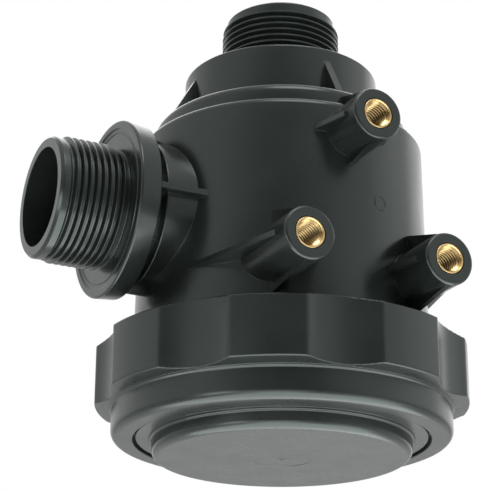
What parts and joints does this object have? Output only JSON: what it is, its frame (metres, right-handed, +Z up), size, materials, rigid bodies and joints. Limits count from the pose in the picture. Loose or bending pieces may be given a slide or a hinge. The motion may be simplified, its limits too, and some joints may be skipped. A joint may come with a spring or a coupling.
{
  "type": "suction filter",
  "caption": "Suction filter with a moulded housing, threaded side inlet and top outlet, lobed ring nut, bottom cover, mounting bosses and a mesh cartridge.",
  "frame": {"origin": "centre of the cover's flat underside, on the filter's own axis", "axes": "+Z up along the filter's axis towards the outlet, -X out along the inlet, -Y out of the mounting bosses"},
  "size_m": [0.1508, 0.1288, 0.161],
  "materials": {
    "housing_plastic": "satin moulded plastic, near black",
    "nut_plastic": "satin moulded plastic, near black",
    "cover_plastic": "satin moulded plastic, near black",
    "insert_brass": "turned brass",
    "cartridge_plastic": "moulded plastic, blue",
    "steel_mesh": "woven stainless wire",
    "rubber": "moulded rubber"
  },
  "bodies": {
    "housing": {"housing": "housing_plastic", "insert_1": "insert_brass", "insert_2": "insert_brass", "insert_3": "insert_brass"},
    "cartridge": {"cartridge_support": "cartridge_plastic", "cartridge_top_ring": "cartridge_plastic", "cartridge_bottom_ring": "cartridge_plastic", "mesh_sleeve": "steel_mesh", "cartridge_neck_ring": "rubber", "cartridge_gasket": "rubber"},
    "cover": {"cover": "cover_plastic", "cover_ring": "rubber"},
    "ring_nut": {"ring_nut": "nut_plastic"}
  },
  "joints": [
    {"name": "cartridge_out", "type": "slide", "parent": "housing", "child": "cartridge", "axis": [0, 0, -1], "range_m": [0, 0.125]},
    {"name": "cover_drop", "type": "slide", "parent": "cartridge", "child": "cover", "axis": [0, 0, -1], "range_m": [0, 0.0272]},
    {"name": "ring_nut_turn", "type": "hinge", "parent": "cover", "child": "ring_nut", "pos_m": [0, 0, 0], "axis": [0, 0, -1], "range_deg": [0, 1620]}
  ],
  "couplings": [
    {"joint": "cover_drop", "follows": "ring_nut_turn", "m_per_rad": 0.00095493}
  ]
}
